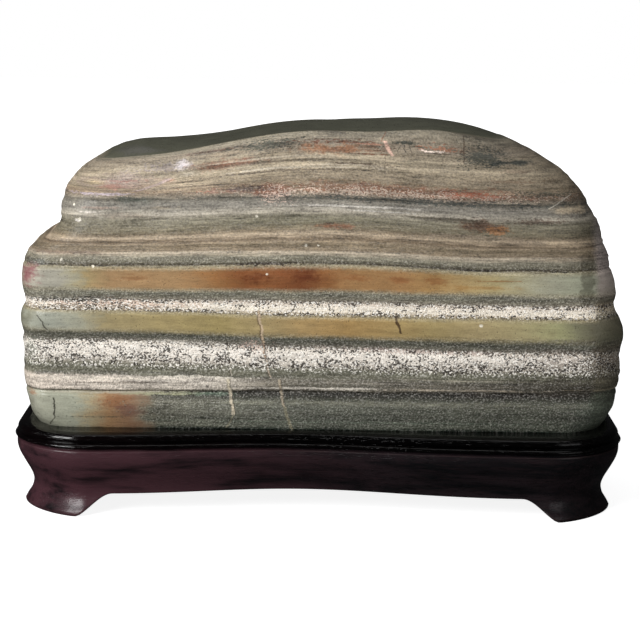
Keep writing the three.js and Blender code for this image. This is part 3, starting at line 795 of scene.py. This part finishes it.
# distance outside the moulding's widest line, height: rim, bead, cove, ledge, groove
MOULDING = [
    (-6.9, 53.45), (-6.3, 53.3), (-5, 53.0), (-3.9, 52.6), (-3.0, 51.9), (-2.3, 51.0), (-1.95, 49.9),
    (-1.95, 48.9), (-2.3, 48.1), (-2.9, 47.6), (-2.75, 47.35), (-1.9, 47.15), (-1.0, 46.7),
    (-0.4, 46.15), (-0.05, 45.5), (-0.15, 45.0), (-0.6, 44.6), (-1.6, 44.35), (-2.5, 44.2),
    (-2.9, 43.9), (-2.85, 43.4), (-2.3, 42.95), (-1.6, 42.7), (-1.25, 42.4),
]
# height, distance outside the same line
APRON_CURVE = [
    (0, -6.6), (1.2, -5.6), (3, -6.2), (6, -8.2), (10, -10.3), (14, -11.1), (18, -10.3), (22, -8.6),
    (26, -6.4), (30, -4.3), (34, -2.4), (38, -1.3), (42.4, -1.25),
]


def stand_ring(columns, outside, height):
    """The stand's outline at a distance outside the moulding's widest line: a rounded rectangle,
    drawn in along the front and back by a bell curve, with the corners easing towards the
    soles. Distance and height may differ from column to column."""
    across, deep, out_x, out_y = columns
    out = outside - FOOT_EASING * (1 - height / RIM) * 2 * np.abs(out_x * out_y)
    x = (LENGTH / 2 - CORNER) * across + (CORNER + out) * out_x
    y = (DEPTH / 2 - CORNER) * deep + (CORNER + out) * out_y
    hollow = np.where(out_y < 0, FRONT_HOLLOW, BACK_HOLLOW) * np.abs(out_y)
    y = y - np.sign(y) * hollow * np.exp(-(((x - HOLLOW_CENTRE) / HOLLOW_SPREAD) ** 2))
    return np.stack([x, y, np.broadcast_to(height, x.shape)], axis=-1)


def lower_edge(columns):
    """Height of the stand's lower edge: nothing at the soles, and from there an ease-in, ease-out
    rise to the apron, whose own edge arches as a squared cosine."""
    x, y, _ = stand_ring(columns, 0, 0).T
    on_front = np.abs(columns[3]) > np.abs(columns[2])
    place = np.where(on_front, np.abs(x), np.abs(y))
    sole = np.where(on_front, FOOT_ON_FRONT, FOOT_ON_END)
    arch = APRON_ARCH * np.cos(np.pi / 2 * np.minimum(1, place / (sole - FOOT_SWEEP))) ** 2
    return ease(0, FOOT_SWEEP, sole - place) * (APRON_BOTTOM + arch)


def seat_ring(columns, height):
    """The edge of the seat: the stone's outline where it enters the stand, and a gap."""
    across, deep, out_x, out_y = columns
    _, left, right = ENDS[1]
    _, depth, left_corner, right_corner, corner_depth = PLAN[1]
    corner = np.where(out_x < 0, left_corner, right_corner)
    start, end = left_corner - left, right - right_corner
    x = start + (end - start) * (across + 1) / 2 + (corner + SEAT_GAP) * out_x
    y = (depth - corner_depth) * deep + (corner_depth + SEAT_GAP) * out_y
    return np.stack([x, y, np.full(x.shape, height)], axis=-1)


columns = plan_columns(front=180, end=44, back=180, corner=24)
edge = lower_edge(columns)
rings = [seat_ring(columns, SEAT_FLOOR), seat_ring(columns, RIM - SEAT_EASING), seat_ring(columns, RIM)]
rings += [stand_ring(columns, out, height) for out, height in MOULDING]
for step in np.linspace(0, 1, 40)[1:]:
    height = APRON_TOP + (edge + EDGE_RADIUS - APRON_TOP) * step
    rings.append(stand_ring(columns, curve_through(APRON_CURVE, 1, height), height))
toe = curve_through(APRON_CURVE, 1, edge + EDGE_RADIUS)
for turn in np.linspace(0, np.pi / 2, 5)[1:]:
    rings.append(stand_ring(columns, toe - EDGE_RADIUS * (1 - np.cos(turn)),
                            edge + EDGE_RADIUS * (1 - np.sin(turn))))
rings.append(stand_ring(columns, -WALL, edge))
rings.append(stand_ring(columns, -WALL - WALL_TAPER, np.full(edge.shape, UNDERSIDE)))
stand = closed_surface("carved_stand", np.stack(rings[::-1]), (0, 0, UNDERSIDE), (0, 0, SEAT_FLOOR))

stand_finish, t, place, (x_place, _, z_place) = start_finish("dark_hardwood")
# the plank's figure, its fibres and its pores, all long from end to end
figure = noise(t, place, (60, 14, 8), 3, 0.6)
fibres = noise(t, place, (26, 1.3, 1.3), 3, 0.6)
pores = noise(t, place, (9, 0.6, 0.6), 1)
wood = layered(t, rising(t, figure, 0.34, 0.66), tint(13, 13, 15), tint(31, 24, 27))
wood = layered(t, times(t, rising(t, fibres, 0.45, 0.7), 0.4), wood, tint(38, 24, 27))
wood = layered(t, times(t, rising(t, pores, 0.58, 0.66), 0.6), wood, tint(6, 4, 5))
# painted light: redder and lighter towards the left, where the lamp is, laid on the figure; lighter where
# edges are worn, and black over the moulding
sharpness = t.nodes.new("ShaderNodeNewGeometry").outputs["Pointiness"]
worn = rising(t, plus(t, sharpness, spread(fibres, 0.03)), 0.515, 0.56)
painted_light_left = times(t, rising(t, x_place, 60, -150), rising(t, figure, 0.25, 0.6))
wood = layered(t, times(t, painted_light_left, 0.85), wood, tint(70, 43, 49))
wood = layered(t, times(t, worn, 0.25), wood, tint(66, 46, 44))
on_moulding = rising(t, z_place, 43, 44.6)
wood = layered(t, times(t, on_moulding, 0.97), wood, tint(1, 1, 1))
polish = t.nodes.new("ShaderNodeBsdfPrincipled")
t.links.new(wood, polish.inputs["Base Color"])
rough = plus(t, 0.3, times(t, on_moulding, -0.2), spread(fibres, 0.16), times(t, worn, 0.06))
t.links.new(rough, polish.inputs["Roughness"])
polish.inputs["Specular IOR Level"].default_value = 0.25
polish.inputs["Coat Weight"].default_value = 0.1
polish.inputs["Coat Roughness"].default_value = 0.12
wood_relief = plus(t, spread(fibres, 0.6), times(t, rising(t, pores, 0.56, 0.66), -0.8))
finish_surface(t, polish, wood_relief, depth=0.25 * MM, strength=0.4)

stand.data.materials.append(stand_finish)
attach(stand, "root")
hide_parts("stand")


# ---- The studio -----------------------------------------------------------------------------
# A plain pale floor and a pale room, one large soft light high on the left, a weaker one on the
# right and a broad one overhead, and the camera straight in front, a little above the stone.

FLOOR_HALF = 4
floor_mesh = bpy.data.meshes.new("floor")
floor_mesh.from_pydata(
    [(-FLOOR_HALF, -FLOOR_HALF, 0), (FLOOR_HALF, -FLOOR_HALF, 0), (FLOOR_HALF, FLOOR_HALF, 0),
     (-FLOOR_HALF, FLOOR_HALF, 0)], [], [(0, 1, 2, 3)])
floor = bpy.data.objects.new("floor", floor_mesh)
bpy.context.scene.collection.objects.link(floor)
floor_finish = bpy.data.materials.new("pale_floor")
floor_finish.use_nodes = True
t = floor_finish.node_tree
matt = t.nodes["Principled BSDF"]
matt.inputs["Base Color"].default_value = (0.5, 0.5, 0.5, 1)
matt.inputs["Roughness"].default_value = 0.9
matt.inputs["Emission Color"].default_value = (1, 1, 1, 1)
# the floor glows to the camera alone, more so further off, so that it ends in the white room
seen_directly = t.nodes.new("ShaderNodeLightPath").outputs["Is Camera Ray"]
from_middle = t.nodes.new("ShaderNodeVectorMath")
from_middle.operation = "LENGTH"
t.links.new(t.nodes.new("ShaderNodeTexCoord").outputs["Object"], from_middle.inputs[0])
glow = plus(t, 0.88, times(t, rising(t, from_middle.outputs["Value"], 0.2, 1.2), 0.4))
t.links.new(times(t, seen_directly, glow), matt.inputs["Emission Strength"])
floor_mesh.materials.append(floor_finish)
floor.visible_glossy = False
floor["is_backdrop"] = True

# the room looks white to the camera, lights the pieces faintly and shows little in their gloss
world = bpy.data.worlds.new("pale_room")
world.use_nodes = True
t = world.node_tree
t.nodes.clear()
seen = t.nodes.new("ShaderNodeBackground")
seen.inputs["Color"].default_value = (1, 1, 1, 1)
ambient = t.nodes.new("ShaderNodeBackground")
ambient.inputs["Color"].default_value = (0.95, 0.97, 1, 1)
rays = t.nodes.new("ShaderNodeLightPath").outputs
t.links.new(minus(t, 0.09, times(t, rays["Is Glossy Ray"], 0.075)), ambient.inputs["Strength"])
choice = t.nodes.new("ShaderNodeMixShader")
t.links.new(rays["Is Camera Ray"], choice.inputs[0])
t.links.new(ambient.outputs[0], choice.inputs[1])
t.links.new(seen.outputs[0], choice.inputs[2])
out = t.nodes.new("ShaderNodeOutputWorld")
t.links.new(choice.outputs[0], out.inputs["Surface"])
bpy.context.scene.world = world


def soft_light(name, position, target, size, power):
    """A square area light at a position, facing a target."""
    lamp = bpy.data.lights.new(name, "AREA")
    lamp.size, lamp.energy = size, power
    light = bpy.data.objects.new(name, lamp)
    light.location = position
    light.rotation_euler = (Vector(target) - Vector(position)).to_track_quat("-Z", "Y").to_euler()
    bpy.context.scene.collection.objects.link(light)


soft_light("key_light", (-1.25, -1.3, 1.05), (0, 0, 0.12), size=1.0, power=47)
soft_light("fill_light", (1.2, -1.6, 0.8), (0, 0, 0.12), size=1.2, power=4.5)
soft_light("high_light", (0, 0.4, 1.8), (0, 0, 0.1), size=1.5, power=8)

CAMERA_AT = Vector((0, -1.25, 0.345))
LOOKS_AT = Vector((0.0003, 0, 0.1114))
CAMERA_ROLL = np.radians(0.72)
camera_data = bpy.data.cameras.new("camera")
camera_data.lens = 111.94
camera_data.sensor_width = 36
camera = bpy.data.objects.new("camera", camera_data)
forward = (LOOKS_AT - CAMERA_AT).normalized()
level_right = forward.cross(Vector((0, 0, 1))).normalized()
level_up = level_right.cross(forward)
right = level_right * np.cos(CAMERA_ROLL) + level_up * np.sin(CAMERA_ROLL)
up = right.cross(forward)
camera.matrix_world = Matrix.Translation(CAMERA_AT) @ Matrix((right, up, -forward)).transposed().to_4x4()
bpy.context.scene.collection.objects.link(camera)
bpy.context.scene.camera = camera
bpy.context.scene.view_settings.view_transform = "Standard"

low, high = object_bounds()
